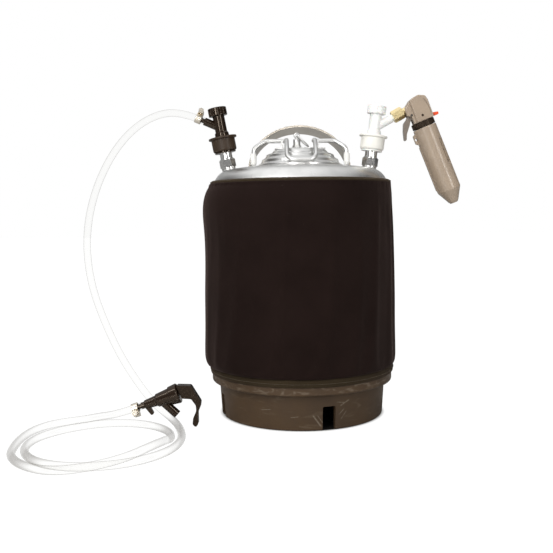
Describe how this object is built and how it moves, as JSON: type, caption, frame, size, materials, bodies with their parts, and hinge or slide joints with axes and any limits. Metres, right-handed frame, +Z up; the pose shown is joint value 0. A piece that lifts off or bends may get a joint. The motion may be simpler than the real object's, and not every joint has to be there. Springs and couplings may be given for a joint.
{
  "type": "beer keg",
  "caption": "Small steel home draught keg in a padded jacket, with a latched oval lid, two quick couplers, a hand gas charger, and a serving tap on a clear coiled hose.",
  "frame": {"origin": "on the tank's axis at the floor, at the middle of the boot's foot", "axes": "+Z up along the tank, front with the bail handle towards -Y, gas charger towards +X, liquid hose towards -X"},
  "size_m": [0.5577, 0.3936, 0.415],
  "materials": {
    "stainless": "bright polished stainless steel",
    "wire_steel": "polished stainless steel",
    "tube_steel": "plain stainless steel",
    "clamp_steel": "zinc plated steel",
    "boot_rubber": "moulded rubber, scuffed",
    "seal_rubber": "smooth rubber",
    "jacket_neoprene": "stretch knit faced neoprene",
    "foot_plastic": "soft white plastic",
    "black_plastic": "glossy moulded plastic",
    "dark_grey_plastic": "matte moulded plastic",
    "white_plastic": "satin moulded plastic",
    "ivory_plastic": "matte moulded plastic",
    "matte_black_plastic": "matte moulded plastic",
    "taupe_plastic": "satin painted plastic",
    "red_plastic": "glossy moulded plastic",
    "nut_brass": "machined brass",
    "cartridge_steel": "zinc plated steel",
    "clear_vinyl": "clear flexible vinyl"
  },
  "bodies": {
    "keg": {"tank_shell": "stainless", "lid_neck": "stainless", "post_bungs": "stainless", "base_boot": "boot_rubber", "strap_handle": "wire_steel", "jacket": "jacket_neoprene", "liquid_post": "stainless", "gas_post": "stainless", "keg_orings": "seal_rubber", "post_poppets": "tube_steel", "poppet_springs": "tube_steel", "liquid_dip_tube": "tube_steel", "gas_dip_tube": "tube_steel", "liquid_coupler_body": "black_plastic", "liquid_coupler_cap": "black_plastic", "liquid_collar_spring": "tube_steel", "liquid_plunger": "tube_steel", "liquid_plunger_spring": "tube_steel", "liquid_lock_balls": "tube_steel", "liquid_seal": "seal_rubber", "coupler_clamp": "clamp_steel", "hose_drop": "clear_vinyl", "hose_coil": "clear_vinyl", "hose_tail": "clear_vinyl", "tap_clamp": "clamp_steel", "tap_body": "black_plastic", "tap_cap": "black_plastic", "tap_seat": "seal_rubber", "tap_spring": "tube_steel"},
    "lid": {"lid": "stainless", "lid_gasket": "seal_rubber", "bail_bracket": "stainless", "relief_body": "stainless", "relief_spring": "tube_steel"},
    "bail": {"bail_wire": "wire_steel", "bail_feet": "foot_plastic"},
    "relief": {"relief_stem": "wire_steel", "relief_seal": "seal_rubber"},
    "pull_ring": {"relief_pull_ring": "wire_steel"},
    "liquid_sleeve": {"liquid_collar": "dark_grey_plastic"},
    "gas_coupler": {"gas_coupler_body": "white_plastic", "gas_coupler_cap": "white_plastic", "gas_collar_spring": "tube_steel", "gas_plunger": "tube_steel", "gas_plunger_spring": "tube_steel", "gas_lock_balls": "tube_steel", "gas_seal": "seal_rubber", "flare_nut": "nut_brass"},
    "gas_sleeve": {"gas_collar": "ivory_plastic"},
    "charger": {"charger_shell_front": "taupe_plastic", "charger_shell_back": "taupe_plastic", "charger_valve": "nut_brass", "charger_ring": "matte_black_plastic", "trigger_pin": "tube_steel"},
    "trigger": {"charger_trigger": "taupe_plastic"},
    "tab": {"safety_tab": "red_plastic"},
    "cartridge": {"co2_cartridge": "cartridge_steel"},
    "holder": {"cartridge_holder": "taupe_plastic"},
    "lever": {"tap_lever": "matte_black_plastic"},
    "plunger": {"tap_plunger": "black_plastic"}
  },
  "joints": [
    {"name": "lid_drop", "type": "slide", "parent": "keg", "child": "lid", "axis": [0, 0, -1], "range_m": [0, 0.008]},
    {"name": "bail_swing", "type": "hinge", "parent": "lid", "child": "bail", "pos_m": [0, 0, 0.3585], "axis": [-1, 0, 0], "range_deg": [0, 100]},
    {"name": "relief_lift", "type": "slide", "parent": "lid", "child": "relief", "axis": [0, 0, 1], "range_m": [0, 0.003], "stiffness_N_per_m": 1500, "springref_m": -0.002, "deforming": ["relief_spring"]},
    {"name": "pull_ring_swing", "type": "hinge", "parent": "relief", "child": "pull_ring", "pos_m": [-0.004, 0, 0.3648], "axis": [0, -1, 0], "range_deg": [0, 95]},
    {"name": "liquid_sleeve_lift", "type": "slide", "parent": "keg", "child": "liquid_sleeve", "axis": [-0.1822, 0, 0.9833], "range_m": [0, 0.005], "stiffness_N_per_m": 900, "springref_m": -0.002, "deforming": ["liquid_collar_spring"]},
    {"name": "gas_swivel", "type": "hinge", "parent": "keg", "child": "gas_coupler", "pos_m": [0.091, 0, 0.3215], "axis": [0.1305, 0, 0.9914], "range_deg": [-75, 75]},
    {"name": "gas_sleeve_lift", "type": "slide", "parent": "gas_coupler", "child": "gas_sleeve", "axis": [0.1305, 0, 0.9914], "range_m": [0, 0.005], "stiffness_N_per_m": 900, "springref_m": -0.002, "deforming": ["gas_collar_spring"]},
    {"name": "charger_turn", "type": "hinge", "parent": "gas_coupler", "child": "charger", "pos_m": [0.09792, 0, 0.37405], "axis": [0.8746, 0, 0.4848], "range_deg": [-60, 60]},
    {"name": "trigger_pull", "type": "hinge", "parent": "charger", "child": "trigger", "pos_m": [0.14535, 0, 0.38904], "axis": [0, -1, 0], "range_deg": [0, 10], "stiffness_Nm_per_rad": 0.6, "springref_deg": -5.73},
    {"name": "safety_flip", "type": "hinge", "parent": "charger", "child": "tab", "pos_m": [0.17051, 0, 0.38948], "axis": [0, -1, 0], "range_deg": [0, 20]},
    {"name": "cartridge_travel", "type": "slide", "parent": "charger", "child": "cartridge", "axis": [0.374, 0, -0.9274], "range_m": [0, 0.0076]},
    {"name": "holder_unscrew", "type": "hinge", "parent": "cartridge", "child": "holder", "pos_m": [0.162, 0, 0.3785], "axis": [0.374, 0, -0.9274], "range_deg": [0, 1815]},
    {"name": "tap_lever_squeeze", "type": "hinge", "parent": "keg", "child": "lever", "pos_m": [-0.14934, -0.088, 0.04648], "axis": [0, 1, 0], "range_deg": [0, 14], "stiffness_Nm_per_rad": 2, "springref_deg": -5.73},
    {"name": "tap_plunger_travel", "type": "slide", "parent": "keg", "child": "plunger", "axis": [0.9455, 0, 0.3256], "range_m": [0, 0.0025], "deforming": ["tap_spring"]}
  ],
  "couplings": [
    {"joint": "lid_drop", "follows": "bail_swing", "m_per_rad": 0.00458},
    {"joint": "holder_unscrew", "follows": "cartridge_travel", "rad_per_m": 4166.7},
    {"joint": "tap_plunger_travel", "follows": "tap_lever_squeeze", "m_per_rad": 0.0095}
  ]
}
